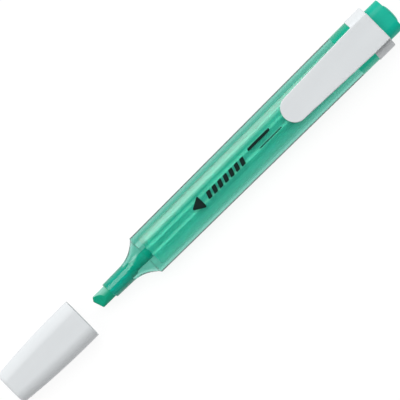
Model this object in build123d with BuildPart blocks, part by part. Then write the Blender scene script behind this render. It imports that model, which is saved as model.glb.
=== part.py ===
from build123d import *
from math import radians, sqrt, tan
import os

# Flat pocket highlighter: a see-through barrel with a chisel nib, a clip held on by the end plug, and a cap.
# Millimetres. The pen lies on its flat back along X: the tail points to +X, the nib and the cap to -X, and
# the clip is on top. Z is 0 at the back's flat. The cap is drawn off and lies in line with the nib.
# Stations along the pen are measured from the shoulder, where the cap's mouth seats, towards the tail.

# Barrel: a flat tube, a little wider towards the tail
barrel_length = 91.0
barrel_width_front = 14.0
barrel_width_rear = 15.3
thickness = 9.4
corner_radius = 4.2
wall = 1.0

# Flare and neck in front of the shoulder
ledge = 0.25
flare_length = 8.6
flare_steps = 5
flare_roundness_rear = 0.86
flare_roundness_front = 0.98
neck_length = 15.5
neck_radius_rear = 3.0
neck_radius_front = 2.86
neck_slant = 9.0
nib_bore_radius = 2.33
vent_groove_radius = 0.35
vent_groove_count = 3

# Ribs inside the barrel that hold the reservoir off its flats, and fins that stop it at the front
rib_spacing = 2.5
rib_width = 0.7
rib_height = 0.24
stop_fin_spacing = 7.6
stop_fin_width = 0.6
stop_fin_reach = 1.6

# Chisel nib
nib_rod_radius = 2.3
nib_shank_radius = 1.8
nib_point_radius = 0.9
nib_edge_thickness = 1.1
nib_wedge_length = 3.4
nib_slant = 1.15
nib_break_length = 0.8
nib_break_width = 1.2
nib_tip = -20.9
nib_rod_end = -5.4
nib_shank_end = 2.0
nib_tail_end = 6.5

# Ink reservoir and its film
reservoir_width = 10.6
reservoir_thickness = 6.4
reservoir_corner = 2.9
reservoir_start = 1.8
reservoir_end = 82.6
film_thickness = 0.2

# End plug
plug_insert_length = 6.6
plug_clearance = 0.04
plug_head_width = 11.8
plug_head_thickness = 7.2
plug_head_corner = 3.2
plug_head_reach = 5.2
plug_end_rounding = 0.5
plug_dome_height = 0.8
plug_dome_radius = 3.4
plug_wall = 1.3

# Clip
ring_length = 6.4
ring_width = 15.7
ring_corner = 4.3
clip_root_width = 10.6
clip_waist_width = 8.9
clip_neck_width = 8.6
clip_waist_station = 66.7
clip_tip_station = 58.2
clip_tip_depth = 3.9
clip_top = thickness + 2.4
clip_thickness = 1.3
clip_foot_station = 62.0
clip_foot_gap = 0.3
clip_foot_length = 4.4
clip_tip_droop = 0.7
clip_end_rounding = 0.6
catch_length = 5.0
catch_width = 1.4
catch_height = 0.3

# Cap, drawn off by cap_travel from the shoulder. Its depths are measured from the mouth to the closed end
cap_travel = 26.6
cap_length = 30.2
cap_width = 14.0
cap_corner = 4.1
cap_wall = 0.9
cap_straight = 4.5
cap_width_bend_radius = 255.0
cap_thickness_bend_radius = 730.0
cap_bend_steps = 5
cap_end_wall = 1.4
cap_end_rounding = 1.0
cap_lip = 0.2
cap_lead_in = 2.6
cap_vent_length = 4.0
cap_vent_width = 1.6
cap_rib_thickness = 0.8
cap_rib_start = 8.6

# Inner cap: a stepped round cup that seals on the neck
inner_cap_start = 8.2
inner_cap_step = 16.5
inner_cap_end = 24.4
inner_cap_radius = 3.6
inner_cap_nose_radius = 3.1
inner_cap_wall = 0.5
inner_cap_bead_depth = 9.4
inner_cap_bead_width = 1.0
inner_cap_bead_height = 0.04
inner_cap_lead_in = 0.2
inner_cap_clearance = 0.05

mid_height = thickness / 2
plug_end = barrel_length + ring_length + plug_head_reach
tail_station = plug_end + plug_dome_height
cap_mouth_station = -cap_travel
shoulder_x = (cap_travel + cap_length - tail_station) / 2


def station(distance):
    """X of a station, measured from the shoulder towards the tail."""
    return shoulder_x + distance


def across(distance):
    """Plane across the pen at a station, centred on its axis: local x is +Y, local y is +Z."""
    return Plane(origin=(station(distance), 0, mid_height), x_dir=(0, 1, 0), z_dir=(1, 0, 0))


def arc_rise(distance, length, rise):
    """Height of an arc that starts level and climbs by rise over length, at a distance from its start."""
    radius = (length**2 + rise**2) / (2 * rise)
    return radius - sqrt(radius**2 - distance**2)


def slab(inset, start, end):
    """The barrel's flat tube shape, shrunk all round by inset, between two stations."""
    half_front = barrel_width_front / 2 - inset
    half_rear = barrel_width_rear / 2 - inset
    with BuildPart() as body:
        with BuildSketch(Plane.XY.offset(inset)):
            with BuildLine():
                Polyline(
                    (station(0), half_front),
                    (station(barrel_length), half_rear),
                    (station(barrel_length), 0),
                    (station(0), 0),
                    close=True,
                )
            make_face()
            mirror(about=Plane.XZ)
        extrude(amount=thickness - 2 * inset)
        long_edges = body.faces().filter_by(Axis.Z).edges() - body.edges().filter_by(Axis.Y)
        fillet(long_edges, corner_radius - inset)
        with BuildSketch(across(start)):
            Rectangle(2 * barrel_width_rear, 2 * thickness)
        extrude(amount=end - start, mode=Mode.INTERSECT)
    return body.part


def funnel(inset, neck_radius, length, reach=0.0):
    """Loft from the shoulder's flat section down to a round neck, shrunk by inset at the shoulder."""
    half_width = barrel_width_front / 2 - ledge - inset
    half_thickness = thickness / 2 - ledge - inset
    with BuildPart() as body:
        for step in range(flare_steps + 1):
            distance = length * step / flare_steps
            width = neck_radius + arc_rise(length - distance, length, half_width - neck_radius)
            height = neck_radius + arc_rise(length - distance, length, half_thickness - neck_radius)
            gain = (flare_roundness_front - flare_roundness_rear) * step / flare_steps
            with BuildSketch(across(reach - distance)):
                corner = (flare_roundness_rear + gain) * min(width, height)
                RectangleRounded(2 * width, 2 * height, corner)
        loft()
    return body.part


def wedge_profile():
    """Side view of the chisel: two flats that leave a thin level edge at the tip."""
    half_edge = nib_edge_thickness / 2
    with BuildSketch(Plane.XZ.offset(-nib_rod_radius)) as profile:
        with BuildLine():
            Polyline(
                (station(nib_tip), mid_height - half_edge),
                (station(nib_tip), mid_height + half_edge),
                (station(nib_tip + nib_wedge_length), mid_height + nib_rod_radius),
                (station(nib_tail_end), mid_height + nib_rod_radius),
                (station(nib_tail_end), mid_height - nib_rod_radius),
                (station(nib_tip + nib_wedge_length), mid_height - nib_rod_radius),
                close=True,
            )
        make_face()
    return profile.sketch


def slanted_profile():
    """Plan of the chisel: a slanted writing edge whose leading corner is broken."""
    with BuildSketch(Plane.XY) as profile:
        with BuildLine():
            Polyline(
                (station(nib_tip + nib_break_length), nib_rod_radius),
                (station(nib_tip), nib_rod_radius - nib_break_width),
                (station(nib_tip + nib_slant), -nib_rod_radius),
                (station(nib_tail_end), -nib_rod_radius),
                (station(nib_tail_end), nib_rod_radius),
                close=True,
            )
        make_face()
    return profile.sketch


with BuildPart() as nib:
    with BuildSketch(Plane.XY.offset(mid_height)):
        with BuildLine():
            Polyline(
                (station(nib_tip), 0),
                (station(nib_tip), nib_rod_radius),
                (station(nib_rod_end), nib_rod_radius),
                (station(nib_rod_end + 0.5), nib_shank_radius),
                (station(nib_shank_end), nib_shank_radius),
                (station(nib_tail_end), nib_point_radius),
                (station(nib_tail_end), 0),
                close=True,
            )
        make_face()
    revolve(axis=Axis((0, 0, mid_height), (1, 0, 0)))
    extrude(wedge_profile(), amount=2 * nib_rod_radius, mode=Mode.INTERSECT)
    extrude(slanted_profile(), amount=thickness, mode=Mode.INTERSECT)
nib.part.label = "nib"

# The barrel's inside: reservoir chamber, funnel and nib bore, less the ribs and fins that stay solid
with BuildPart() as cavity:
    add(slab(wall, 0, barrel_length))
    add(funnel(wall, nib_bore_radius, flare_length - wall))
    with BuildSketch(across(-neck_length)):
        Circle(nib_bore_radius)
        with PolarLocations(nib_bore_radius, vent_groove_count, start_angle=90):
            Circle(vent_groove_radius)
    extrude(amount=neck_length - flare_length + 2 * wall)
    with BuildSketch(across(reservoir_start)):
        for side in (-1, 1):
            with Locations((0, side * (thickness / 2 - wall))):
                with GridLocations(rib_spacing, 0, 2, 1):
                    Rectangle(rib_width, 2 * rib_height)
    extrude(amount=reservoir_end - reservoir_start, mode=Mode.SUBTRACT)
    with BuildSketch(across(-stop_fin_reach)):
        with GridLocations(stop_fin_spacing, 0, 2, 1):
            Rectangle(stop_fin_width, thickness)
    extrude(amount=stop_fin_reach + reservoir_start - 0.1, mode=Mode.SUBTRACT)

with BuildPart() as barrel:
    add(slab(0, 0, barrel_length))
    add(funnel(0, neck_radius_rear, flare_length))
    with BuildSketch(Plane.XY.offset(mid_height)):
        with BuildLine():
            Polyline(
                (station(-flare_length), 0),
                (station(-flare_length), neck_radius_rear),
                (station(-neck_length), neck_radius_front),
                (station(-neck_length), 0),
                close=True,
            )
        make_face()
    revolve(axis=Axis((0, 0, mid_height), (1, 0, 0)))
    add(cavity.part, mode=Mode.SUBTRACT)
    neck_end = across(-neck_length + neck_radius_front * tan(radians(neck_slant)))
    split(bisect_by=neck_end.rotated((0, neck_slant, 0)), keep=Keep.TOP)
barrel.part.label = "barrel"

with BuildPart() as ink_reservoir:
    with BuildSketch(across(reservoir_start)):
        RectangleRounded(reservoir_width, reservoir_thickness, reservoir_corner)
    extrude(amount=reservoir_end - reservoir_start)
    add(nib.part, mode=Mode.SUBTRACT)
ink_reservoir.part.label = "ink_reservoir"

with BuildPart() as reservoir_film:
    with BuildSketch(across(reservoir_start)):
        RectangleRounded(
            reservoir_width + 2 * film_thickness,
            reservoir_thickness + 2 * film_thickness,
            reservoir_corner + film_thickness,
        )
        RectangleRounded(reservoir_width, reservoir_thickness, reservoir_corner, mode=Mode.SUBTRACT)
    extrude(amount=reservoir_end - reservoir_start)
reservoir_film.part.label = "reservoir_film"

with BuildPart() as end_plug:
    add(slab(wall + plug_clearance, barrel_length - plug_insert_length, barrel_length))
    with BuildSketch(across(barrel_length)):
        RectangleRounded(plug_head_width, plug_head_thickness, plug_head_corner)
    extrude(amount=plug_end - barrel_length)
    fillet(end_plug.faces().sort_by(Axis.X)[-1].edges(), plug_end_rounding)
    # A low round button stands on the flat end
    with BuildSketch(Plane.XY.offset(mid_height)):
        with BuildLine():
            crown = ThreePointArc(
                (station(plug_end), plug_dome_radius),
                (station(plug_end + 0.72 * plug_dome_height), plug_dome_radius * 0.55),
                (station(plug_end + plug_dome_height), 0),
            )
            Polyline(
                crown @ 1,
                (station(plug_end - plug_end_rounding), 0),
                (station(plug_end - plug_end_rounding), plug_dome_radius),
                crown @ 0,
            )
        make_face()
    revolve(axis=Axis((0, 0, mid_height), (1, 0, 0)))
    with BuildSketch(across(barrel_length - plug_insert_length)):
        RectangleRounded(
            plug_head_width - 2 * plug_wall,
            plug_head_thickness - 2 * plug_wall,
            plug_head_corner - plug_wall,
        )
    extrude(amount=plug_insert_length + ring_length + plug_head_reach - plug_wall, mode=Mode.SUBTRACT)
    # Catches on the flats, half way through the clip's ring
    with BuildSketch(Plane.XZ.offset(-catch_length / 2)):
        for side in (-1, 1):
            with Locations(
                (station(barrel_length + ring_length / 2), mid_height + side * plug_head_thickness / 2)
            ):
                Rectangle(catch_width, 2 * catch_height)
    extrude(amount=catch_length)
end_plug.part.label = "end_plug"


with BuildPart() as clip_ring:
    with BuildSketch(across(barrel_length)):
        RectangleRounded(ring_width, thickness, ring_corner)
    extrude(amount=ring_length)
    # The clip's root stands on the ring at the arm's own width
    with BuildSketch(across(barrel_length)):
        with Locations((0, (clip_top - mid_height) / 2)):
            Rectangle(clip_root_width, clip_top - mid_height)
    extrude(amount=ring_length)
    rear_top_edge = clip_ring.faces().sort_by(Axis.X)[-1].edges().filter_by(Axis.Y).sort_by(Axis.Z)[-1]
    fillet(rear_top_edge, clip_end_rounding)
    with BuildSketch(across(barrel_length)):
        RectangleRounded(
            plug_head_width + 2 * plug_clearance,
            plug_head_thickness + 2 * plug_clearance,
            plug_head_corner,
        )
    extrude(amount=ring_length, mode=Mode.SUBTRACT)
    add(end_plug.part, mode=Mode.SUBTRACT)
clip_ring.part.label = "clip_ring"

# The arm, as its side view carried across and trimmed to its plan
with BuildPart() as clip_arm:
    underside = clip_top - clip_thickness
    with BuildSketch(Plane.XZ.offset(-clip_root_width / 2)):
        with BuildLine():
            top = Line((station(barrel_length), clip_top), (station(clip_waist_station), clip_top))
            tip_end = (station(clip_tip_station), clip_top - clip_tip_droop)
            droop = TangentArc(top @ 1, tip_end, tangent=top % 1)
            foot = ThreePointArc(
                (station(clip_foot_station - clip_foot_length / 2), underside),
                (station(clip_foot_station), thickness + clip_foot_gap),
                (station(clip_foot_station + clip_foot_length / 2), underside),
            )
            Polyline(droop @ 1, (station(clip_tip_station), underside), foot @ 0)
            Polyline(foot @ 1, (station(barrel_length), underside), top @ 0)
        make_face()
    extrude(amount=clip_root_width)
    with BuildSketch(Plane.XY.offset(thickness)):
        with BuildLine():
            root = (station(barrel_length), clip_root_width / 2)
            waist = (station(clip_waist_station), clip_waist_width / 2)
            centre = station(clip_tip_station + clip_tip_depth)
            tip = EllipticalCenterArc(
                (centre, 0), clip_tip_depth, clip_neck_width / 2, start_angle=90, arc_size=90
            )
            Polyline(tip @ 0, waist, root, (station(barrel_length), 0), tip @ 1)
        make_face()
        mirror(about=Plane.XZ)
    extrude(amount=clip_top, mode=Mode.INTERSECT)
clip_arm.part.label = "clip_arm"


def cap_bend(depth, radius):
    """How far the cap's side has bent inwards at a depth from its mouth."""
    return radius - sqrt(radius**2 - max(0.0, depth - cap_straight) ** 2)


def cap_section(depth, inset):
    """The cap's rounded section at a depth from its mouth, shrunk by inset."""
    half_width = cap_width / 2 - cap_bend(depth, cap_width_bend_radius)
    half_thickness = thickness / 2 - cap_bend(depth, cap_thickness_bend_radius)
    corner = cap_corner * half_thickness / (thickness / 2)
    with BuildSketch(across(cap_mouth_station - depth)) as section:
        RectangleRounded(2 * (half_width - inset), 2 * (half_thickness - inset), corner - inset)
    return section.sketch


def cap_form(inset, end):
    """The cap's tapering form, shrunk by inset, from its mouth to a depth."""
    span = end - cap_straight
    with BuildPart() as body:
        extrude(cap_section(0, inset), amount=-cap_straight)
        depths = [cap_straight + span * step / cap_bend_steps for step in range(cap_bend_steps + 1)]
        loft([cap_section(depth, inset) for depth in depths])
    return body.part


# Side ribs hold the inner cap, and their feet stop it short of the end wall
with BuildPart() as cap_ribs:
    with BuildSketch(Plane.XY.offset(mid_height)):
        with Locations((station(cap_mouth_station - (cap_rib_start + cap_length) / 2), 0)):
            Rectangle(cap_length - cap_rib_start, cap_width)
    extrude(amount=cap_rib_thickness / 2, both=True)
    add(cap_form(cap_wall / 2, cap_length - cap_end_wall / 2), mode=Mode.INTERSECT)
    with BuildSketch(Plane.XY.offset(mid_height)):
        step = station(cap_mouth_station - inner_cap_step - inner_cap_clearance)
        seat = station(cap_mouth_station - inner_cap_end - inner_cap_clearance)
        with BuildLine():
            Polyline(
                (station(cap_mouth_station), 0),
                (station(cap_mouth_station), inner_cap_radius + inner_cap_clearance),
                (step, inner_cap_radius + inner_cap_clearance),
                (step, inner_cap_nose_radius + inner_cap_clearance),
                (seat, inner_cap_nose_radius + inner_cap_clearance),
                (seat, cap_vent_length / 2),
                (station(cap_mouth_station - cap_length), cap_vent_length / 2),
                (station(cap_mouth_station - cap_length), 0),
                close=True,
            )
        make_face()
    revolve(axis=Axis((0, 0, mid_height), (1, 0, 0)), mode=Mode.SUBTRACT)

with BuildPart() as cap_shell:
    add(cap_form(0, cap_length))
    fillet(cap_shell.faces().sort_by(Axis.X)[0].edges(), cap_end_rounding)
    add(cap_form(cap_wall, cap_length - cap_end_wall), mode=Mode.SUBTRACT)
    loft([cap_section(0, cap_lip), cap_section(cap_lead_in, cap_wall)], mode=Mode.SUBTRACT)
    add(cap_ribs.part)
    # Vent slot through the end wall
    with BuildSketch(across(cap_mouth_station - cap_length)):
        SlotOverall(cap_vent_length, cap_vent_width)
    extrude(amount=2 * cap_end_wall, mode=Mode.SUBTRACT)
cap_shell.part.label = "cap_shell"

with BuildPart() as inner_cap:
    bore = inner_cap_radius - inner_cap_wall
    nose_bore = inner_cap_nose_radius - inner_cap_wall
    mouth = station(cap_mouth_station - inner_cap_start)
    step = station(cap_mouth_station - inner_cap_step)
    end = station(cap_mouth_station - inner_cap_end)
    bead = station(cap_mouth_station - inner_cap_bead_depth)
    with BuildSketch(Plane.XY.offset(mid_height)):
        with BuildLine():
            Polyline(
                (mouth, inner_cap_radius),
                (step, inner_cap_radius),
                (step, inner_cap_nose_radius),
                (end, inner_cap_nose_radius),
                (end, 0),
                (end + inner_cap_wall, 0),
                (end + inner_cap_wall, nose_bore),
                (step + inner_cap_wall, nose_bore),
                (step + inner_cap_wall, bore),
                (bead - inner_cap_bead_width / 2, bore),
                (bead, bore - inner_cap_bead_height),
                (bead + inner_cap_bead_width / 2, bore),
                (mouth - inner_cap_lead_in, bore),
                (mouth, bore + inner_cap_lead_in),
                close=True,
            )
        make_face()
    revolve(axis=Axis((0, 0, mid_height), (1, 0, 0)))
inner_cap.part.label = "inner_cap"

os.makedirs("parts", exist_ok=True)
export_step(barrel.part, "parts/barrel.step")
export_step(nib.part, "parts/nib.step")
export_step(ink_reservoir.part, "parts/ink_reservoir.step")
export_step(reservoir_film.part, "parts/reservoir_film.step")
export_step(end_plug.part, "parts/end_plug.step")
export_step(clip_ring.part, "parts/clip_ring.step")
export_step(clip_arm.part, "parts/clip_arm.step")
export_step(cap_shell.part, "parts/cap_shell.step")
export_step(inner_cap.part, "parts/inner_cap.step")
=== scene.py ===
import math
import bmesh
import bpy
import numpy as np
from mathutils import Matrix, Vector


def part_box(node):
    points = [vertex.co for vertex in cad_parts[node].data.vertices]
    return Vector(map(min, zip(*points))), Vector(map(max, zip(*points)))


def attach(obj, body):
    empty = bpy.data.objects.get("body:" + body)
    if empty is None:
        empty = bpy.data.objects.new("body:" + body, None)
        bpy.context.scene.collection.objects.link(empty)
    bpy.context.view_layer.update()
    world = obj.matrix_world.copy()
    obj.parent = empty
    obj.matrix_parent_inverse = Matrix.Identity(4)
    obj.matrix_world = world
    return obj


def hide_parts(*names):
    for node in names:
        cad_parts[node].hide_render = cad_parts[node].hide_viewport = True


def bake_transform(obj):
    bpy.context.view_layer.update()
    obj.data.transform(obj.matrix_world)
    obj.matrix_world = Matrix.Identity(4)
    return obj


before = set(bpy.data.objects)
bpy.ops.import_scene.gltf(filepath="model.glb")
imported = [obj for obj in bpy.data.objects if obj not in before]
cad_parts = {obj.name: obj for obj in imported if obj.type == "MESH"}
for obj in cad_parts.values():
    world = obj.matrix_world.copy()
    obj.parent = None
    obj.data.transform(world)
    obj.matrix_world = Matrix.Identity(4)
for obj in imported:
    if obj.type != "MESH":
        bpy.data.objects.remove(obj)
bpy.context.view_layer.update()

# Flat pocket highlighter with its cap drawn off. Shape sizes are in millimetres, material places in metres.
# Places come from the CAD nodes' boxes. Stations are counted from the shoulder, where the cap's mouth
# seats, towards the tail, and depths inside the cap from its mouth.

mm = 0.001
tiny = 1e-3  # half width of an end that is drawn in to a point
barrelLow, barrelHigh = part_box("barrel")
midZ = (barrelLow.z + barrelHigh.z) / 2
axisZ = midZ / mm
thickness = barrelHigh.z / mm


# ---- shapes on a grid

def arcRise(s, length, rise):
    # an arc that starts level and climbs by rise over length: radius less the root of radius squared less s
    # squared
    radius = (length**2 + rise**2) / (2 * rise)
    return radius - np.sqrt(radius**2 - np.asarray(s, dtype=float) ** 2)


def columnSet(core, arcSteps, shares=(0.25, 0.5, 0.75)):
    # how each column sits on a rounded rectangle: fixed y on the flats, share of the rest of the flat, side
    # of the flat in z, and the corner arc's cosine and sine. Columns run from +y over the top to -y and
    # back underneath
    half = core[-1]
    flat = np.concatenate([-np.array(core[:0:-1]), core])[::-1]
    top = [(half, share, 1, 0, 1) for share in shares[::-1]]
    top += [(y, 0, 1, 0, 1) for y in flat]
    top += [(-half, -share, 1, 0, 1) for share in shares]
    turn = np.linspace(0, np.pi / 2, arcSteps)
    one = np.ones(arcSteps)
    corner = np.stack([half * one, one, one, np.cos(turn), np.sin(turn)], 1)
    over = np.concatenate([corner, np.array(top, dtype=float), corner[::-1] * [-1, -1, 1, -1, 1]])
    return np.concatenate([over, over[::-1] * [1, 1, -1, 1, -1]])


def crossRow(x, wide, high, corner):
    # a rounded rectangle round the pen's axis: x, half width, half height, corner radius, centre y and
    # centre z
    return [float(x), float(wide), float(high), float(corner), 0, axisZ]


def ringGrid(rows, columns, flatScale=2.65):
    # each row becomes a rounded rectangle: y = core + share of the flat + radius * cosine, and z = side of
    # the flat + radius * sine. A flat narrower than flatScale draws its fixed columns in
    x, wide, high, r, y0, z0 = np.asarray(rows, dtype=float).T[:, :, None]
    core, share, side, cosine, sine = columns.T[:, None, :]
    half = np.abs(core).max()
    flat = wide - r
    shrink = np.clip(flat / flatScale, 0, 1)
    y = y0 + core * shrink + share * (flat - half * shrink) + r * cosine
    z = z0 + side * (high - r) + r * sine
    return np.stack([x + 0 * y, y, z], -1)


def softRows(keys, steps=4, mostShare=0.48, holdAt=1.9, holdNeeds=2.2):
    # each key is a row and how far its corner is rounded: a quadratic curve runs from a point that far
    # before the corner to one that far after it, with a plain row a little further out on both sides to
    # hold the flats level
    out = []
    for i, (row, reach) in enumerate(keys):
        row = np.array(row, dtype=float)
        if not reach or i in (0, len(keys) - 1):
            out.append(row)
            continue
        before, after = [np.array(keys[j][0], dtype=float) - row for j in (i - 1, i + 1)]
        spanBefore, spanAfter = [max(np.abs(v).max(), 1e-9) for v in (before, after)]
        start = row + before / spanBefore * min(reach, mostShare * spanBefore)
        end = row + after / spanAfter * min(reach, mostShare * spanAfter)
        if spanBefore > holdNeeds * reach:
            out.append(row + before / spanBefore * min(holdAt * reach, 0.5 * spanBefore))
        t = np.linspace(0, 1, steps + 1)[:, None]
        out.extend((1 - t) ** 2 * start + 2 * t * (1 - t) * row + t**2 * end)
        if spanAfter > holdNeeds * reach:
            out.append(row + after / spanAfter * min(holdAt * reach, 0.5 * spanAfter))
    return np.array(out)


def pointRow(rows):
    # a row shrunk until it closes the end of a bar
    small = rows.copy()
    small[:, 1:4] = [tiny, tiny, tiny / 10]
    return small


def barRows(rows):
    return np.concatenate([pointRow(rows[:1]), rows, pointRow(rows[-1:])])


def turned(x, radius, turn):
    # a profile of x and radius turned about the pen's axis: y = radius * cosine, z = axis + radius * sine
    return np.stack([x + 0 * turn, radius * np.cos(turn), axisZ + radius * np.sin(turn)], -1)


def gridFaces(rowCount, columnCount, wrapRows):
    i = np.arange(rowCount if wrapRows else rowCount - 1)[:, None]
    j = np.arange(columnCount)[None, :]
    nextRow, nextColumn = (i + 1) % rowCount, (j + 1) % columnCount
    here, there = i * columnCount, nextRow * columnCount
    corners = [here + j, here + nextColumn, there + nextColumn, there + j]
    return np.stack(corners, -1).reshape(-1, 4)


def welded(*grids, wrapRows=False):
    # a mesh from grids of points in millimetres: the points that meet are merged and the faces turned outwards.
    # With wrapRows each grid is a closed wall, whose last row meets its first
    points, faces, offset = [], [], 0
    for grid in grids:
        flat = grid.reshape(-1, 3)
        quads = gridFaces(*grid.shape[:2], wrapRows)
        a, b, c, d = np.moveaxis(flat[quads], 1, 0)
        volume = np.einsum("ij,ij->i", a, np.cross(b, c) + np.cross(c, d)).sum()
        points.append(flat)
        faces.append((quads if volume > 0 else quads[:, ::-1]) + offset)
        offset += len(flat)
    points, faces = np.concatenate(points) * mm, np.concatenate(faces)
    mesh = bpy.data.meshes.new("welded")
    mesh.vertices.add(len(points))
    mesh.vertices.foreach_set("co", points.astype(np.float32).ravel())
    mesh.loops.add(faces.size)
    mesh.loops.foreach_set("vertex_index", faces.astype(np.int32).ravel())
    mesh.polygons.add(len(faces))
    mesh.polygons.foreach_set("loop_start", np.arange(0, faces.size, 4, dtype=np.int32))
    mesh.update(calc_edges=True)
    mesh.validate()
    work = bmesh.new()
    work.from_mesh(mesh)
    bmesh.ops.remove_doubles(work, verts=work.verts, dist=2e-7)
    bmesh.ops.dissolve_degenerate(work, edges=work.edges, dist=1e-7)
    work.to_mesh(mesh)
    work.free()
    return mesh


def makePiece(name, *parts):
    # one smooth piece from welded meshes, which stay apart from one another where they touch
    whole = bmesh.new()
    for part in parts:
        whole.from_mesh(part)
        bpy.data.meshes.remove(part)
    mesh = bpy.data.meshes.new(name)
    whole.to_mesh(mesh)
    whole.free()
    mesh.polygons.foreach_set("use_smooth", np.full(len(mesh.polygons), True))
    mesh.update()
    piece = bpy.data.objects.new(name, mesh)
    bpy.context.collection.objects.link(piece)
    return piece


def dress(piece, material, body, slot, *replaced):
    # a piece that bends between two bodies rides neither, so it has no body here
    piece.data.materials.append(material)
    if body:
        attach(piece, body)
    if replaced:
        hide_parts(*replaced)


# ---- nodes that the materials share

def startMaterial(name):
    material = bpy.data.materials.new(name)
    material.use_nodes = True
    tree = material.node_tree
    tree.nodes.clear()
    output = tree.nodes.new("ShaderNodeOutputMaterial")
    return material, tree, output, tree.nodes.new("ShaderNodeBsdfPrincipled")


def objectPlace(tree):
    # the three Object coordinates, in metres
    split = tree.nodes.new("ShaderNodeSeparateXYZ")
    tree.links.new(tree.nodes.new("ShaderNodeTexCoord").outputs["Object"], split.inputs[0])
    return split.outputs


def noise(tree, stretch, scale, detail=3.0, rough=0.5):
    # a noise on Object coordinates, squeezed along each axis by stretch
    place = tree.nodes.new("ShaderNodeTexCoord")
    mapping = tree.nodes.new("ShaderNodeMapping")
    mapping.inputs["Scale"].default_value = stretch
    texture = tree.nodes.new("ShaderNodeTexNoise")
    texture.inputs["Scale"].default_value = scale
    texture.inputs["Detail"].default_value = detail
    texture.inputs["Roughness"].default_value = rough
    tree.links.new(place.outputs["Object"], mapping.inputs["Vector"])
    tree.links.new(mapping.outputs["Vector"], texture.inputs["Vector"])
    return texture.outputs["Fac"]


def ramp(tree, source, stops):
    node = tree.nodes.new("ShaderNodeValToRGB")
    band = node.color_ramp
    while len(band.elements) < len(stops):
        band.elements.new(0.5)
    for element, (at, colour) in zip(band.elements, stops):
        element.position = at
        element.color = (*colour, 1)
    tree.links.new(source, node.inputs["Fac"])
    return node.outputs["Color"]


def spread(tree, source, low, high, fromLow=0.3, fromHigh=0.7, kind="LINEAR"):
    node = tree.nodes.new("ShaderNodeMapRange")
    node.interpolation_type = kind
    for label, value in zip(("From Min", "From Max", "To Min", "To Max"), (fromLow, fromHigh, low, high)):
        node.inputs[label].default_value = value
    tree.links.new(source, node.inputs["Value"])
    return node.outputs["Result"]


def across(tree, source, axis, start, end, atStart=0.0, atEnd=1.0):
    # a value that eases from atStart to atEnd while one coordinate of the source goes from start to end
    split = tree.nodes.new("ShaderNodeSeparateXYZ")
    tree.links.new(tree.nodes.new("ShaderNodeTexCoord").outputs[source], split.inputs[0])
    return spread(tree, split.outputs[axis], atStart, atEnd, start, end, "SMOOTHSTEP")


def bump(tree, source, height):
    node = tree.nodes.new("ShaderNodeBump")
    node.inputs["Distance"].default_value = height
    node.inputs["Strength"].default_value = 1.0
    tree.links.new(source, node.inputs["Height"])
    return node.outputs["Normal"]


def maths(tree, operation, first, second=0.0):
    node = tree.nodes.new("ShaderNodeMath")
    node.operation = operation
    for socket, value in zip(node.inputs, (first, second)):
        if isinstance(value, (int, float)):
            socket.default_value = value
        else:
            tree.links.new(value, socket)
    return node.outputs[0]


def mixColour(tree, factor, first, second):
    node = tree.nodes.new("ShaderNodeMix")
    node.data_type = "RGBA"
    tree.links.new(factor, node.inputs["Factor"])
    for socket, value in zip([i for i in node.inputs if i.type == "RGBA"], (first, second)):
        if isinstance(value, tuple):
            socket.default_value = (*value, 1)
        else:
            tree.links.new(value, socket)
    return next(o for o in node.outputs if o.type == "RGBA")


def mixShader(tree, factor, first, second):
    node = tree.nodes.new("ShaderNodeMixShader")
    for socket, source in zip(node.inputs, (factor, first, second)):
        tree.links.new(source, socket)
    return node.outputs[0]


def seeThrough(tree, tint):
    node = tree.nodes.new("ShaderNodeBsdfTransparent")
    node.inputs["Color"].default_value = (*tint, 1)
    return node.outputs[0]


# ---- barrel

barrel = {
    "length": 91.0, "frontWidth": 14.0, "rearWidth": 15.3, "corner": 4.2, "wall": 1.0, "ledge": 0.25,
    "flareLength": 8.6, "rearRoundness": 0.86, "moreRoundness": 0.11, "neckRear": 3.0, "neckMiddle": 2.93,
    "neckMiddleAt": 12.0, "neckFront": 2.86, "neckLength": 15.05, "neckRoundness": 0.97, "bore": 2.27,
    "lipChamfer": 0.12, "slant": 9.0, "leanFrom": 11.0, "leanLength": 3.5, "ribAt": 1.25, "ribHalf": 0.45,
    "ribHeight": 0.24, "ribRamp": 0.2, "ribsFrom": 1.9, "ribsTo": 82.5, "light": (0.56, 0.82, 0.76),
    "deep": (0.52, 0.79, 0.73), "lampTint": (0.70, 0.88, 0.85), "polish": (0.04, 0.085), "neckFrost": 0.13,
    "frostFrom": 8.5, "frostTo": 3.5, "refraction": 1.49, "bodyColour": (0.0, 0.715, 0.60),
    "bodyDensity": 460.0,
}
shoulder = barrelHigh.x / mm - barrel["length"]


def station(distance):
    return shoulder + np.asarray(distance, dtype=float)


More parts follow.
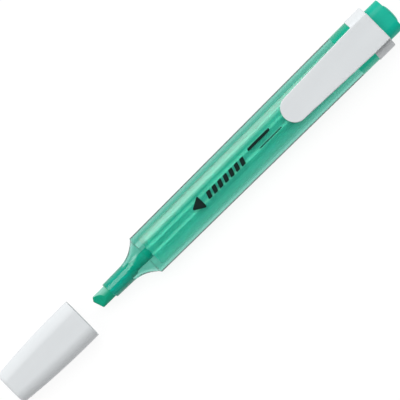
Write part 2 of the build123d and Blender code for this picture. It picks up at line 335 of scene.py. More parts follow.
def tintedPlastic(name, look):
    # clear green moulding: glass to the eye, and tinted but open to lamps so that what is inside is lit.
    # The tint grows with the thickness, and the neck is finely frosted
    material, tree, output, shader = startMaterial(name)
    flow = noise(tree, stretch=(0.12, 1, 1), scale=900, detail=2.0)
    tint = ramp(tree, flow, [(0.35, look["deep"]), (0.65, look["light"])])
    tree.links.new(tint, shader.inputs["Base Color"])
    polish = spread(tree, noise(tree, stretch=(0.4, 1, 1), scale=2600), *look["polish"])
    frostFrom, frostTo = station(-look["frostFrom"]) * mm, station(-look["frostTo"]) * mm
    frost = across(tree, "Object", 0, frostFrom, frostTo, look["neckFrost"], 0.0)
    tree.links.new(maths(tree, "MAXIMUM", polish, frost), shader.inputs["Roughness"])
    tree.links.new(bump(tree, flow, 0.000004), shader.inputs["Normal"])
    shader.inputs["Transmission Weight"].default_value = 1.0
    shader.inputs["IOR"].default_value = look["refraction"]
    shadowRay = tree.nodes.new("ShaderNodeLightPath").outputs["Is Shadow Ray"]
    surface = mixShader(tree, shadowRay, shader.outputs[0], seeThrough(tree, look["lampTint"]))
    tree.links.new(surface, output.inputs["Surface"])
    body = tree.nodes.new("ShaderNodeVolumeAbsorption")
    body.inputs["Color"].default_value = (*look["bodyColour"], 1)
    body.inputs["Density"].default_value = look["bodyDensity"]
    tree.links.new(body.outputs[0], output.inputs["Volume"])
    return material


ribEdges = barrel["ribAt"] + np.linspace(-0.5, 0.5, 17)
barrelColumns = columnSet([0, 0.35, *ribEdges, 2.0], 22)
plainColumns = columnSet([0, 0.6, 1.2, 2.0], 16)


def slabRow(s, inset):
    # the flat tube: half width = front half width + share of the length * what the rear has more
    b = barrel
    wide = b["frontWidth"] / 2 - inset + s / b["length"] * (b["rearWidth"] - b["frontWidth"]) / 2
    return crossRow(station(s), wide, thickness / 2 - inset, b["corner"] - inset)


def flareRow(s, inset, neck, length):
    # the flare swells from the round neck on one arc in width and one in height, and its corners stay
    # nearly round
    b = barrel
    wide, high = [neck + float(arcRise(length - s, length, half - b["ledge"] - inset - neck))
                  for half in (b["frontWidth"] / 2, thickness / 2)]
    roundness = b["rearRoundness"] + b["moreRoundness"] * s / length
    return crossRow(station(-s), wide, high, roundness * min(wide, high))


def neckRow(s, radius):
    return crossRow(station(-s), radius, radius, barrel["neckRoundness"] * radius)


def barrelRows():
    # one closed wall: outside from the neck's lip to the rear, then back along the inside
    b = barrel
    wall, length, lip = b["wall"], b["length"], b["neckLength"]
    outLength, inLength = b["flareLength"], b["flareLength"] - b["wall"]
    outFlare = [flareRow(s, 0, b["neckRear"], outLength) for s in np.linspace(outLength, 0.3, 22)]
    inFlare = [flareRow(s, wall, b["bore"], inLength) for s in np.linspace(0.3, inLength, 20)]
    along = list(np.linspace(2.0, length - 2.0, 34))
    keys = [(neckRow(lip, b["bore"] + b["lipChamfer"]), 0.05), (neckRow(lip, b["neckFront"]), 0.09)]
    keys += [(neckRow(b["neckMiddleAt"], b["neckMiddle"]), 0)] + [(row, 0) for row in outFlare]
    keys += [(flareRow(0, 0, b["neckRear"], outLength), 0.04), (slabRow(0, 0.0), 0.07)]
    keys += [(slabRow(s, 0.0), 0) for s in along]
    keys += [(slabRow(length, 0.0), 0.1), (slabRow(length, wall), 0.06)]
    keys += [(slabRow(s, wall), 0) for s in along[::-1]] + [(slabRow(b["ribsFrom"] - 0.12, wall), 0)]
    keys += [(slabRow(0, wall), 0.05), (flareRow(0, wall, b["bore"], inLength), 0.05)]
    keys += [(row, 0) for row in inFlare] + [(neckRow(b["neckMiddleAt"], b["bore"]), 0)]
    return softRows(keys + [(neckRow(lip - b["lipChamfer"], b["bore"]), 0.03)])


def buildBarrel():
    b = barrel
    rows = barrelRows()
    grid = ringGrid(rows, barrelColumns)
    # ribs stand on the inside of both flats, with a short ramp at each end: half a cosine wave on each side
    # of a rib
    x, y, z = np.moveaxis(grid, -1, 0)
    innerHalf = thickness / 2 - b["wall"]
    inside = (np.abs(rows[:, 2] - innerHalf) < 1e-6)[:, None] & (np.abs(z - axisZ) > innerHalf - 1e-4)
    near = np.clip(np.abs(np.abs(y) - b["ribAt"]) / b["ribHalf"], 0, 1)
    rampUp = np.clip((x - station(b["ribsFrom"]) + b["ribRamp"] / 2) / b["ribRamp"], 0, 1)
    rampDown = np.clip((station(b["ribsTo"]) - x) / b["ribRamp"], 0, 1)
    ribs = (0.5 + 0.5 * np.cos(np.pi * near)) * rampUp * rampDown * b["ribHeight"]
    z -= np.sign(z - axisZ) * inside * ribs
    # the neck's lip leans: points near it move along X with y
    lean = np.clip((station(-b["leanFrom"]) - x) / b["leanLength"], 0, 1) ** 2
    x -= math.tan(math.radians(b["slant"])) * y * lean
    return makePiece("barrelSkin", welded(grid, wrapRows=True))


clearGreen = tintedPlastic("tintedBarrelPlastic", barrel)
barrelSkin = buildBarrel()
dress(barrelSkin, clearGreen, "pen", "tinted_barrel", "barrel")
print("barrel made")


# ---- reservoir and its film

reservoir = {
    "width": 10.6, "thickness": 6.4, "corner": 2.9, "from": 1.8, "to": 82.6, "endSoftness": 0.3,
    "endDish": 0.25, "filmThickness": 0.2, "filmGap": 0.03, "light": (0.26, 0.68, 0.64),
    "deep": (0.17, 0.56, 0.52), "underRibColour": (0.74, 0.98, 0.92), "paintedHighlightSide": (0.92, 0.60, 0.60),
    "paintedShadeLiftSide": (0.46, 0.92, 0.88), "paintedGlow": 0.18, "scatter": (0.0015, 0.004, 0.0035),
    "filmTint": (0.93, 0.99, 0.97), "filmGloss": (0.93, 0.98, 0.96),
}


def inkedReservoir(name, look, ribAt):
    # fibres that run along X: noise drawn out lengthwise for colour and relief, with slower blotches of
    # ink, and paler lines along it under the barrel's ribs. The +Y side, towards the key light, is a painted
    # highlight, paler and redder, and the shaded -Y side is painted paler to lift its shade. A glow, painted
    # light that stands in part for the ink's fluorescence, lifts the shaded sides too
    material, tree, output, shader = startMaterial(name)
    strand = noise(tree, stretch=(0.02, 1, 1), scale=1500, detail=4.0, rough=0.6)
    blot = noise(tree, stretch=(0.25, 1, 1), scale=300)
    ink = maths(tree, "ADD", maths(tree, "MULTIPLY", strand, 0.6), maths(tree, "MULTIPLY", blot, 0.4))
    fromCentre = maths(tree, "ABSOLUTE", objectPlace(tree)[1])
    fromRib = maths(tree, "ABSOLUTE", maths(tree, "SUBTRACT", fromCentre, ribAt))
    closeness = spread(tree, fromRib, 1.0, 0.0, 0.0001, 0.0006)
    line = maths(tree, "MULTIPLY", closeness, spread(tree, strand, 0.7, 1.0))
    colour = ramp(tree, ink, [(0.38, look["deep"]), (0.62, look["light"])])
    # painted highlight: the +Y side, which faces the key light, is painted paler and redder
    colour = mixColour(tree, across(tree, "Object", 1, 0.0019, 0.0036), colour, look["paintedHighlightSide"])
    # painted shade lift: the shaded -Y side is painted paler
    colour = mixColour(tree, across(tree, "Object", 1, -0.0024, -0.0042), colour, look["paintedShadeLiftSide"])
    colour = mixColour(tree, line, colour, look["underRibColour"])
    tree.links.new(colour, shader.inputs["Base Color"])
    tree.links.new(spread(tree, strand, 0.5, 0.75), shader.inputs["Roughness"])
    tree.links.new(bump(tree, strand, 0.00003), shader.inputs["Normal"])
    # painted light: the glow lifts the shaded sides, and stands in part for the ink's fluorescence
    tree.links.new(colour, shader.inputs["Emission Color"])
    shader.inputs["Emission Strength"].default_value = look["paintedGlow"]
    shader.inputs["Subsurface Weight"].default_value = 1.0
    shader.inputs["Subsurface Radius"].default_value = look["scatter"]
    shader.inputs["Subsurface Scale"].default_value = 1.0
    tree.links.new(shader.outputs[0], output.inputs["Surface"])
    return material


def wrapFilm(name, look):
    # thin clear film: open to view, with a gloss that grows towards its edges and faint creases along the pen
    material, tree, output, shader = startMaterial(name)
    crease = noise(tree, stretch=(0.03, 1, 1), scale=1100, detail=2.0)
    shader.inputs["Base Color"].default_value = (*look["filmGloss"], 1)
    shader.inputs["Metallic"].default_value = 1.0
    tree.links.new(spread(tree, crease, 0.1, 0.24), shader.inputs["Roughness"])
    tree.links.new(bump(tree, crease, 0.00001), shader.inputs["Normal"])
    edge = tree.nodes.new("ShaderNodeLayerWeight")
    edge.inputs["Blend"].default_value = 0.15
    share = spread(tree, edge.outputs["Facing"], 0.05, 0.35, 0.0, 1.0)
    surface = mixShader(tree, share, seeThrough(tree, look["filmTint"]), shader.outputs[0])
    tree.links.new(surface, output.inputs["Surface"])
    return material


def reservoirRow(s, inset):
    r = reservoir
    return crossRow(station(s), r["width"] / 2 - inset, r["thickness"] / 2 - inset, r["corner"] - inset)


def dishRow(s, share):
    # a ring of the pressed-in end face, at a share of its size
    r = reservoir
    wide, high = r["width"] / 2 * share, r["thickness"] / 2 * share
    corner = max(min(r["corner"] * share, 0.97 * high), tiny / 10)
    return crossRow(station(s), max(wide, tiny), max(high, tiny), corner)


def buildReservoir():
    # a long rounded bar with slightly pressed-in ends
    r = reservoir
    soft, dish = r["endSoftness"], r["endDish"]
    rows = [dishRow(r["from"] + dish, 0.0), dishRow(r["from"] + 0.8 * dish, 0.5)]
    rows += [reservoirRow(r["from"], soft)]
    rows += [reservoirRow(s, 0.02) for s in np.linspace(r["from"] + soft, r["to"] - soft, 40)]
    rows += [reservoirRow(r["to"], soft), dishRow(r["to"] - 0.8 * dish, 0.5), dishRow(r["to"] - dish, 0.0)]
    return makePiece("inkReservoir", welded(ringGrid(rows, plainColumns)))


def buildFilm():
    # a closed wall: outside forwards, inside back
    r = reservoir
    stops = np.linspace(r["from"], r["to"], 30)
    rows = [reservoirRow(s, -r["filmThickness"]) for s in stops]
    rows += [reservoirRow(s, -r["filmGap"]) for s in stops[::-1]]
    return makePiece("reservoirFilm", welded(ringGrid(rows, plainColumns), wrapRows=True))


reservoirInk = inkedReservoir("inkedReservoirFibre", reservoir, barrel["ribAt"] * mm)
inkReservoir = buildReservoir()
dress(inkReservoir, reservoirInk, "pen", "reservoir_fibre", "ink_reservoir")
clearFilm = wrapFilm("clearReservoirFilm", reservoir)
reservoirFilm = buildFilm()
dress(reservoirFilm, clearFilm, "pen", "clear_film", "reservoir_film")
print("reservoir and film made")


# ---- nib

nib = {
    "radius": 2.3, "shank": 1.8, "point": 0.9, "tip": -20.9, "wedge": 3.4, "edge": 1.1, "slant": 1.15,
    "breakLength": 0.8, "breakWidth": 1.2, "bluntLength": 0.25, "bluntHeight": 0.12, "bluntShare": 0.015,
    "rodEnd": -5.4, "shankEnd": 2.0, "tail": 6.4, "light": (0.003, 0.33, 0.20),
    "deep": (0.0015, 0.27, 0.155), "paintedSheen": (0.26, 0.52, 0.44), "inNeck": (0.002, 0.40, 0.33), "paintedGlow": 0.12,
    "gloss": 0.15,
}


def inkedFelt(name, look, lipAt):
    # bonded felt: a fine grain along X, deepest where the tip is cut, with a painted highlight that makes the
    # rounded cheek behind the cut paler on the side facing the key light, and lighter and bluer inside the neck
    material, tree, output, shader = startMaterial(name)
    strand = noise(tree, stretch=(0.08, 1, 1), scale=3600, detail=4.0, rough=0.6)
    felt = ramp(tree, strand, [(0.35, look["deep"]), (0.65, look["light"])])
    # painted highlight: on the rounded cheek behind the cut, the side facing the key light is painted paler
    facesKeySide = across(tree, "Normal", 1, -0.1, 0.9)
    offTheCut = across(tree, "Normal", 0, -0.25, -0.05)
    litCheekMask = maths(tree, "MULTIPLY", facesKeySide, offTheCut)
    litCheekMask = maths(tree, "MULTIPLY", litCheekMask, across(tree, "Object", 0, lipAt + 0.0002, lipAt - 0.0004))
    paintedSheenShare = maths(tree, "MULTIPLY", litCheekMask, spread(tree, strand, 0.7, 1.0))
    felt = mixColour(tree, paintedSheenShare, felt, look["paintedSheen"])
    felt = mixColour(tree, across(tree, "Object", 0, lipAt - 0.0002, lipAt + 0.0004), felt, look["inNeck"])
    tree.links.new(felt, shader.inputs["Base Color"])
    tree.links.new(spread(tree, strand, 0.45, 0.7), shader.inputs["Roughness"])
    tree.links.new(bump(tree, strand, 0.00003), shader.inputs["Normal"])
    shader.inputs["Specular IOR Level"].default_value = look["gloss"]
    # painted light: a small glow of the felt's colour, standing in part for the ink's fluorescence
    tree.links.new(felt, shader.inputs["Emission Color"])
    shader.inputs["Emission Strength"].default_value = look["paintedGlow"]
    tree.links.new(shader.outputs[0], output.inputs["Surface"])
    return material


def buildNib():
    # circles along X, pressed between the two flats of the chisel, with the front rows leaning to the
    # slanted edge
    n = nib
    turn = np.linspace(0, 2 * np.pi, 128, endpoint=False)[None, :]
    front = np.array([0, 0, 0, 0.02, 0.06, 0.15, 0.3, 0.5, 0.7, 0.85, 0.95, 1.0])[:, None]
    closing = np.array([0, 0.45, 0.9] + 9 * [1])[:, None]
    y = n["radius"] * np.cos(turn) + 0 * front
    # plan of the edge: it slants back from the leading corner, which is broken on its other side
    beyond = y - (n["radius"] - n["breakWidth"])
    slope = n["slant"] / (2 * n["radius"] - n["breakWidth"])
    tipX = n["tip"] + np.where(beyond > 0, beyond * n["breakLength"] / n["breakWidth"], -beyond * slope)
    x = tipX + (n["tip"] + n["wedge"] - tipX) * front
    high = n["edge"] / 2 + (n["radius"] - n["edge"] / 2) * np.clip((x - n["tip"]) / n["wedge"], 0, 1)
    # the cutting edge is blunted: close to it the nib loses some height and a little width
    blunt = 1 - np.clip((x - tipX) / n["bluntLength"], 0, 1)
    circle = n["radius"] * np.sin(turn)
    z = np.sign(circle) * np.minimum(np.abs(circle), high - n["bluntHeight"] * blunt**2) * closing
    wedge = np.stack([station(x), y * (1 - n["bluntShare"] * blunt), axisZ + z], -1)
    profile = softRows([
        ([n["tip"] + n["wedge"] + 0.2, n["radius"]], 0), ([n["rodEnd"], n["radius"]], 0.15),
        ([n["rodEnd"] + 0.5, n["shank"]], 0.15), ([n["shankEnd"], n["shank"]], 0.4),
        ([n["tail"], n["point"]], 0.2), ([n["tail"], tiny / 10], 0),
    ])
    rod = turned(station(profile[:, :1]), profile[:, 1:], turn)
    return makePiece("nibFelt", welded(np.concatenate([wedge, rod])))


nibInk = inkedFelt("inkedNibFelt", nib, station(-barrel["neckLength"]) * mm)
nibFelt = buildNib()
dress(nibFelt, nibInk, "pen", "nib_fibre", "nib")
print("nib made")


# ---- end plug

plug = {
    "insertFrom": 84.4, "insertTo": 90.95, "insertInset": 0.95, "headFrom": 90.97, "headWidth": 11.8,
    "headThickness": 7.2, "headCorner": 3.2, "wall": 1.3, "hollowTo": 96.0, "headMiddle": 97.4,
    "headEnd": 102.6, "rounding": 0.5, "domeHalfWidth": 3.4, "domeHalfHeight": 3.05, "domeHeight": 0.8,
    "domePower": 0.8, "light": (0.003, 0.335, 0.235), "deep": (0.0015, 0.30, 0.21), "rough": (0.3, 0.42),
    "gloss": 0.22, "paintedGlow": 0.34, "insideColour": (0.002, 0.20, 0.145), "paintedInsideGlow": 1.8,
}


def mouldedPlastic(name, look):
    # opaque moulding with a very fine satin grain, a slow drift of colour along the pen and a faint parting
    # line at mid height, where the mould's halves meet. A glow of its own colour is painted light that lifts
    # its shaded sides
    material, tree, output, shader = startMaterial(name)
    drift = noise(tree, stretch=(0.25, 1, 1), scale=160)
    grain = noise(tree, stretch=(1, 1, 1), scale=5200, detail=2.0)
    colour = ramp(tree, drift, [(0.3, look["deep"]), (0.7, look["light"])])
    # painted light: a glow of the part's own colour lifts its shaded sides
    shader.inputs["Emission Strength"].default_value = look["paintedGlow"]
    if "insideColour" in look:
        # the stretch inside the barrel is deeper and has a strong glow, painted light that stands in for the
        # light the clear wall brings to it and evens out its lit and shaded sides
        start, end = barrelHigh.x - 0.0002, barrelHigh.x + 0.0004
        colour = mixColour(tree, across(tree, "Object", 0, start, end), look["insideColour"], colour)
        paintedGlow = across(tree, "Object", 0, start, end, look["paintedInsideGlow"], look["paintedGlow"])
        tree.links.new(paintedGlow, shader.inputs["Emission Strength"])
    tree.links.new(colour, shader.inputs["Base Color"])
    tree.links.new(colour, shader.inputs["Emission Color"])
    tree.links.new(spread(tree, grain, *look["rough"]), shader.inputs["Roughness"])
    fromLine = maths(tree, "ABSOLUTE", maths(tree, "SUBTRACT", objectPlace(tree)[2], midZ))
    ridge = maths(tree, "MULTIPLY", spread(tree, fromLine, 1.0, 0.0, 0.00002, 0.0001), 4.0)
    tree.links.new(bump(tree, maths(tree, "ADD", grain, ridge), 0.000006), shader.inputs["Normal"])
    shader.inputs["Specular IOR Level"].default_value = look["gloss"]
    tree.links.new(shader.outputs[0], output.inputs["Surface"])
    return material


def headRow(s, inset):
    wide, high = plug["headWidth"] / 2, plug["headThickness"] / 2
    return crossRow(station(s), wide - inset, high - inset, plug["headCorner"] - inset)


def domeRow(s, share):
    # one of the button's rings, at a share of its size
    wide, high = plug["domeHalfWidth"] * share, plug["domeHalfHeight"] * share
    return crossRow(station(s), max(wide, tiny), max(high, tiny), max(0.98 * high, tiny / 10))


def buildPlug():
    # from the bottom of its hollow round the insert and the head to the crown of the low button
    p = plug
    keys = [(domeRow(p["hollowTo"], 0), 0), (headRow(p["hollowTo"], p["wall"]), 0.2)]
    keys += [(headRow(p["insertFrom"], p["wall"]), 0.15), (slabRow(p["insertFrom"], p["insertInset"]), 0.2)]
    keys += [(slabRow(p["insertTo"], p["insertInset"]), 0.05), (headRow(p["headFrom"], 0), 0.03)]
    keys += [(headRow(p["headMiddle"], 0), 0), (headRow(p["headEnd"], 0), p["rounding"])]
    keys += [(domeRow(p["headEnd"], 1.0), 0.06)]
    # the button's rings climb by a sine and close by a cosine
    for a in np.linspace(0, np.pi / 2, 10)[1:]:
        rise = p["domeHeight"] * math.sin(a)
        keys.append((domeRow(p["headEnd"] + rise, math.cos(a) ** p["domePower"]), 0))
    return makePiece("endPlug", welded(ringGrid(softRows(keys, 5), plainColumns)))


solidGreen = mouldedPlastic("greenPlugPlastic", plug)
endPlug = buildPlug()
dress(endPlug, solidGreen, "pen", "green_plastic", "end_plug")
print("end plug made")


# ---- clip

clip = {
    "ringFrom": 91.0, "ringMiddle": 94.0, "ringTo": 97.4, "ringGap": 0.02, "ringWidth": 15.7,
    "ringCorner": 4.3, "holeWidth": 11.88, "holeThickness": 7.28, "holeCorner": 3.24, "rootWidth": 10.6,
    "rootLow": 8.95, "rootFrom": 90.4, "rootFall": 0.66, "thinnest": 0.35, "waistWidth": 8.9,
    "waistAt": 66.7, "tipWidth": 8.6, "tipAt": 58.2, "tipDepth": 3.9, "top": 11.8, "thickness": 1.3,
    "droop": 0.7, "footAt": 62.0, "footLength": 4.4, "footGap": 0.3, "edge": 0.32, "rearRadius": 0.5,
    "light": (0.68, 0.705, 0.72), "deep": (0.65, 0.675, 0.69), "rough": (0.42, 0.54), "gloss": 0.35,
    "paintedGlow": 0.0,
}


def ringRow(s, inset):
    wide = clip["ringWidth"] / 2 - inset
    return crossRow(station(s), wide, thickness / 2 - inset, clip["ringCorner"] - inset)


def holeRow(s):
    return crossRow(station(s), clip["holeWidth"] / 2, clip["holeThickness"] / 2, clip["holeCorner"])


def buildRing():
    # a short flat tube round the plug's head, as one closed wall
    start, middle, end = clip["ringFrom"] + clip["ringGap"], clip["ringMiddle"], clip["ringTo"]
    keys = [(ringRow(start, 0.5), 0), (ringRow(start, 0), 0.16), (ringRow(middle, 0), 0)]
    keys += [(ringRow(end, 0), 0.28), (holeRow(end), 0.12), (holeRow(middle), 0), (holeRow(start), 0)]
    return ringGrid(softRows(keys), plainColumns)


def buildArm():
    # the arm and its root: bars across the pen, from the tip's half ellipse back to the ring's rear face
    c = clip
    sweep = np.linspace(0.0, np.pi / 2, 16)
    rearStops = [90.7, 90.9, 91.0, 91.06, 91.1, 91.3, 92.0, 94.0, 96.4, 96.9, 97.1, 97.25, 97.34, 97.37]
    tip = c["tipAt"] + c["tipDepth"] * (1 - np.cos(sweep))
    stops = np.linspace(62.6, 65.8, 5), np.linspace(c["waistAt"], c["rootFrom"], 22), rearStops
    s = np.concatenate([tip, *stops])
    # half width: straight from the tip's ellipse to the waist, and from there to the root
    ends = [c["tipAt"] + c["tipDepth"], c["waistAt"], c["ringFrom"]]
    half = np.interp(s, ends, [c["tipWidth"] / 2, c["waistWidth"] / 2, c["rootWidth"] / 2])
    half[: len(tip)] = c["tipWidth"] / 2 * np.sin(np.clip(sweep, 0.02, None))
    # the rear's top edge is a quarter circle: radius less the root of radius squared less distance squared
    past = np.clip(s - (c["ringTo"] - c["rearRadius"]), 0, 0.47) / c["rearRadius"]
    rear = c["rearRadius"] * (1 - np.sqrt(np.clip(1 - past**2, 0, 1)))
    half = half - 0.6 * rear
    # the top droops by the square of the distance past the waist
    reach = np.clip((c["waistAt"] - s) / (c["waistAt"] - c["tipAt"]), 0, 1)
    topZ = c["top"] - c["droop"] * reach**2 - rear
    # the underside is level but for the foot, a parabola, and falls by a cube into the ring's root
    under = c["top"] - c["thickness"]
    foot = np.clip(1 - ((s - c["footAt"]) / (c["footLength"] / 2)) ** 2, 0, 1)
    intoRing = np.clip((s - c["rootFrom"]) / c["rootFall"], 0, 1)
    lowZ = under - 0.98 * foot * (under - thickness - c["footGap"]) - (under - c["rootLow"]) * intoRing**3
    lowZ = np.minimum(lowZ, topZ - c["thinnest"])
    corner = np.minimum(np.minimum(c["edge"], 0.9 * half), 0.45 * (topZ - lowZ))
    rows = np.stack([station(s), half, (topZ - lowZ) / 2, corner, 0 * s, (topZ + lowZ) / 2], 1)
    rows = np.concatenate([rows, rows[-1:] * [1, 0.8, 0.8, 0.8, 1, 1]])
    return ringGrid(barRows(rows), plainColumns)


whitePlastic = mouldedPlastic("whiteClipPlastic", clip)
pocketClip = makePiece("pocketClip", welded(buildArm()), welded(buildRing(), wrapRows=True))
dress(pocketClip, whitePlastic, None, "white_plastic", "clip_ring", "clip_arm")
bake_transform(pocketClip)
print("clip made")


# ---- cap

cap = {
    "length": 30.2, "width": 14.0, "corner": 4.1, "wall": 0.9, "straight": 4.5, "widthBend": 255.0,
    "heightBend": 730.0, "endWall": 1.4, "rounding": 1.0, "lip": 0.2, "leadIn": 2.6, "ventLength": 4.0,
    "ventWidth": 1.6, "seat": 0.03, "insideTo": 27.5, "ribFrom": 8.6, "ribTo": 29.2,
    "ribHalfThickness": 0.4, "ribCorner": 0.12,
}
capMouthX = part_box("cap_shell")[1].x / mm


def depth(distance):
    return capMouthX - np.asarray(distance, dtype=float)


def capRow(d, inset):
    # the sides are straight near the mouth, then bend in on wide arcs: each loses its radius less the root
    # of radius squared less depth squared
    c = cap
    along = max(0.0, d - c["straight"])
    wide = c["width"] / 2 - (c["widthBend"] - math.sqrt(c["widthBend"] ** 2 - along**2))
    high = thickness / 2 - (c["heightBend"] - math.sqrt(c["heightBend"] ** 2 - along**2))
    return crossRow(depth(d), wide - inset, high - inset, c["corner"] * high / (thickness / 2) - inset)


def ventRow(d):
    high = cap["ventWidth"] / 2
    return crossRow(depth(d), cap["ventLength"] / 2, high, 0.97 * high)


def buildCap():
    # one closed wall: outside from the mouth to the end, in through the vent slot, and back along the inside
    c = cap
    stops = list(np.linspace(0.5, c["length"] - 1.8, 26))
    innerEnd = c["length"] - c["endWall"]
    keys = [(capRow(c["seat"], c["lip"]), 0.05), (capRow(c["seat"], 0), 0.07)]
    keys += [(capRow(d, 0), 0) for d in stops]
    keys += [(capRow(c["length"], 0), c["rounding"]), (ventRow(c["length"]), 0.15), (ventRow(innerEnd), 0.1)]
    keys += [(capRow(innerEnd, c["wall"]), 0.4)]
    keys += [(capRow(d, c["wall"]), 0) for d in stops[::-1] if c["leadIn"] + 0.2 < d < c["insideTo"]]
    keys += [(capRow(c["leadIn"], c["wall"]), 0.1)]
    return makePiece("capShell", welded(ringGrid(softRows(keys, 6), plainColumns), wrapRows=True))


innerCap = {
    "from": 8.2, "step": 16.5, "to": 24.4, "radius": 3.6, "nose": 3.1, "wall": 0.5, "bead": 9.4,
    "beadHeight": 0.04, "light": (0.72, 0.73, 0.71), "deep": (0.66, 0.68, 0.66), "rough": (0.45, 0.6),
    "gloss": 0.5, "paintedGlow": 0.0,
}


def buildInnerCap():
    # a stepped round cup, from the nose's outside round the mouth to the bottom of its bore
    c = innerCap
    bore, noseBore = c["radius"] - c["wall"], c["nose"] - c["wall"]
    stepInside, noseInside = c["step"] - c["wall"], c["to"] - c["wall"]
    path = softRows([
        ([c["to"], tiny / 10], 0), ([c["to"], c["nose"]], 0.25), ([c["step"], c["nose"]], 0.12),
        ([c["step"], c["radius"]], 0.2), ([c["from"], c["radius"]], 0.12), ([c["from"], bore + 0.2], 0.04),
        ([c["from"] + 0.25, bore], 0.06), ([c["bead"] - 0.5, bore], 0.1),
        ([c["bead"], bore - c["beadHeight"]], 0.1), ([c["bead"] + 0.5, bore], 0.1),
        ([stepInside, bore], 0.15), ([stepInside, noseBore], 0.15),
        ([noseInside, noseBore], 0.2), ([noseInside, tiny / 10], 0),
    ])
    turn = np.linspace(0, 2 * np.pi, 96, endpoint=False)[None, :]
    return makePiece("innerCap", welded(turned(depth(path[:, :1]), path[:, 1:], turn)))


def buildCapRibs():
    # a thin upright web on each side, from the inner cap's outside into the shell's wall
    c = cap
    stops = [8.7, 12.0, 16.5, 16.55, 20.0, 24.4, 24.45, 27.0]
    d = np.array([c["ribFrom"], *stops, c["ribTo"], c["ribTo"] + 0.1])
    innerEdge = np.interp(d, [0, 16.5, 16.55, 24.4, 24.45, 40], [3.65, 3.65, 3.15, 3.15, 2.0, 2.0])
    outerEdge = np.array([capRow(float(v), c["wall"] / 2)[1] for v in d])
    grids = []
    for side in (-1, 1):
        centre, half = side * (outerEdge + innerEdge) / 2, (outerEdge - innerEdge) / 2
        high, corner = 0 * d + c["ribHalfThickness"], 0 * d + c["ribCorner"]
        rows = np.stack([depth(d), half, high, corner, centre, 0 * d + axisZ], 1)
        grids.append(ringGrid(barRows(rows), columnSet([0, 0.3], 5, (0.5,)), 0.5))
    return makePiece("capRibs", welded(*grids))


capShell = buildCap()
dress(capShell, whitePlastic, "cap", "white_plastic", "cap_shell")
capRibs = buildCapRibs()
dress(capRibs, whitePlastic, "cap", "white_plastic")
milkyPlastic = mouldedPlastic("milkyInnerCapPlastic", innerCap)
innerCapCup = buildInnerCap()
dress(innerCapCup, milkyPlastic, "cap", "natural_plastic", "inner_cap")
print("cap made")


# ---- print

marks = {
    "height": 0.012, "lift": 0.004, "centreY": -0.38, "lean": 0.35, "arrowAt": 22.0, "arrowInner": 1.35,
    "arrowOuter": 2.35, "blocksFrom": 25.6, "blocksTo": 41.0, "blockCount": 7, "blockWide": 1.5,
    "blockHigh": 2.3, "strokeWide": 9.0, "broadStroke": (48.2, 0.9, 0.9), "fineStroke": (51.2, -1.3, 0.35),
    "light": (0.004, 0.022, 0.019), "deep": (0.001, 0.008, 0.007), "gloss": 0.12,
}


def printInk(name, look):
    # thin matt ink with a fine speckle
    material, tree, output, shader = startMaterial(name)
    speck = noise(tree, stretch=(1, 1, 1), scale=3800, detail=4.0, rough=0.7)
    colour = ramp(tree, speck, [(0.3, look["deep"]), (0.75, look["light"])])
    tree.links.new(colour, shader.inputs["Base Color"])
    tree.links.new(spread(tree, speck, 0.3, 0.5), shader.inputs["Roughness"])
    tree.links.new(bump(tree, speck, 0.000004), shader.inputs["Normal"])
    shader.inputs["Specular IOR Level"].default_value = look["gloss"]
    tree.links.new(shader.outputs[0], output.inputs["Surface"])
    return material


def inkLayer(s, centreY, outlineX, outlineY, topShare):
    # an outline as a thin layer on the barrel, its top a little smaller than its foot
    share = np.array([0, 1, 1, topShare, 0])[:, None]
    rise = np.array([0, 0, 0.8, 1, 1])[:, None]
    z = thickness + marks["lift"] + rise * marks["height"]
    return np.stack([station(s) + share * outlineX, centreY + share * outlineY, z + 0 * outlineX], -1)


def leaningBlock(s, centreY, wide, high, power=0.22):
    # a block with soft corners: x = width * cosine to a small power + lean * y, y = height * sine to a
    # small power
    turn = np.linspace(0, 2 * np.pi, 64, endpoint=False)
    cosine, sine = np.cos(turn), np.sin(turn)
    x = wide / 2 * np.sign(cosine) * np.abs(cosine) ** power
    y = high / 2 * np.sign(sine) * np.abs(sine) ** power
    return inkLayer(s, centreY, x + marks["lean"] * y, y, 0.9)


def buildMarks():
    # generic marks: an arrow towards the nib, a row of leaning blocks, and a broad and a fine stroke
    m = marks
    edge = m["blockWide"] / 2
    centres = np.linspace(m["blocksFrom"] + edge, m["blocksTo"] - edge, m["blockCount"])
    grids = [leaningBlock(s, m["centreY"], m["blockWide"], m["blockHigh"]) for s in centres]
    for (s, y, high), power in ((m["broadStroke"], 0.22), (m["fineStroke"], 0.15)):
        grids.append(leaningBlock(s, y, m["strokeWide"], high, power))
    # a triangle with cut corners: its side's distance over the cosine of the turn from the side's middle
    turn = np.linspace(0, 2 * np.pi, 60, endpoint=False)
    reach = m["arrowInner"] / np.cos((turn + np.pi / 3) % (2 * np.pi / 3) - np.pi / 3)
    reach = np.minimum(reach, m["arrowOuter"])
    grids.append(inkLayer(m["arrowAt"], m["centreY"], reach * np.cos(turn), reach * np.sin(turn), 0.92))
    return makePiece("printMarks", welded(*grids))


blackInk = printInk("printedBlackInk", marks)
printMarks = buildMarks()
dress(printMarks, blackInk, "pen", "tinted_barrel")
print("print made")


# ---- floor, light and camera

studio = {
    "floorHalf": 4.0, "floorDrop": 0.0002, "floorLevels": (0.115, 0.13), "floorGlow": 0.90, "keyTilt": 30.0,
    "keyDistance": 2.2, "keyLong": 3.6, "keyWide": 1.9, "keyPower": 67.0,
    "sky": [(0.0, 0.85), (0.2, 0.32), (0.72, 0.32), (0.97, 0.03)],
}
view = {"lens": 400.0, "sensor": 36.0, "span": 119.6, "roll": -44.71, "centreX": -0.12, "centreY": 0.34}


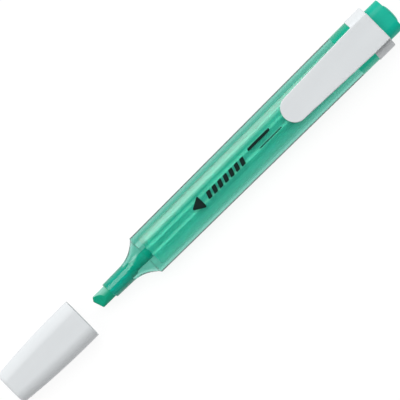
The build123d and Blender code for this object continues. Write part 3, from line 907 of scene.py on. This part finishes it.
def paleFloor(name, look):
    # a light table: a matt white sheet that also glows a little from below
    material, tree, output, shader = startMaterial(name)
    stops = [(at, (level, level, level)) for at, level in zip((0.3, 0.7), look["floorLevels"])]
    cloud = noise(tree, stretch=(1, 1, 1), scale=3.0, detail=2.0)
    tree.links.new(ramp(tree, cloud, stops), shader.inputs["Base Color"])
    shader.inputs["Roughness"].default_value = 0.9
    shader.inputs["Specular IOR Level"].default_value = 0.1
    shader.inputs["Emission Color"].default_value = (1, 1, 1, 1)
    shader.inputs["Emission Strength"].default_value = look["floorGlow"]
    tree.links.new(shader.outputs[0], output.inputs["Surface"])
    return material


def buildFloor():
    half, z = studio["floorHalf"], -studio["floorDrop"]
    mesh = bpy.data.meshes.new("floor")
    corners = [(-half, -half, z), (half, -half, z), (half, half, z), (-half, half, z)]
    mesh.from_pydata(corners, [], [(0, 1, 2, 3)])
    floor = bpy.data.objects.new("floor", mesh)
    floor.data.materials.append(paleFloor("paleFloor", studio))
    bpy.context.collection.objects.link(floor)


def addKeyLight():
    # a long panel parallel to the pen on its +Y side, tilted from straight above, that faces the pen
    lamp = bpy.data.lights.new("keySoftbox", "AREA")
    lamp.shape = "RECTANGLE"
    lamp.size, lamp.size_y, lamp.energy = studio["keyLong"], studio["keyWide"], studio["keyPower"]
    box = bpy.data.objects.new("keySoftbox", lamp)
    angle, distance = math.radians(studio["keyTilt"]), studio["keyDistance"]
    box.location = (0, math.sin(angle) * distance, math.cos(angle) * distance)
    box.rotation_euler = (-angle, 0, 0)
    bpy.context.collection.objects.link(box)


def addSky():
    # a plain room: bright at the horizon, darker overhead
    world = bpy.data.worlds.new("paleRoom")
    bpy.context.scene.world = world
    world.use_nodes = True
    tree = world.node_tree
    tree.nodes.clear()
    split = tree.nodes.new("ShaderNodeSeparateXYZ")
    tree.links.new(tree.nodes.new("ShaderNodeTexCoord").outputs["Generated"], split.inputs[0])
    back = tree.nodes.new("ShaderNodeBackground")
    output = tree.nodes.new("ShaderNodeOutputWorld")
    levels = [(height, (level, level, level)) for height, level in studio["sky"]]
    tree.links.new(ramp(tree, split.outputs["Z"], levels), back.inputs["Color"])
    tree.links.new(back.outputs[0], output.inputs["Surface"])


def addCamera():
    # square on to the clip's face, far away, and rolled so that the nib points down and to the left
    camera = bpy.data.objects.new("camera", bpy.data.cameras.new("camera"))
    camera.data.lens = view["lens"]
    camera.data.sensor_width = view["sensor"]
    away = view["span"] * mm * view["lens"] / view["sensor"]
    camera.location = (view["centreX"] * mm, view["centreY"] * mm, midZ + away)
    camera.rotation_euler = (0, 0, math.radians(view["roll"]))
    bpy.context.collection.objects.link(camera)
    bpy.context.scene.camera = camera
    bpy.context.scene.view_settings.view_transform = "Standard"
    bpy.context.scene.view_settings.look = "None"


buildFloor()
addKeyLight()
addSky()
addCamera()
print("studio made")
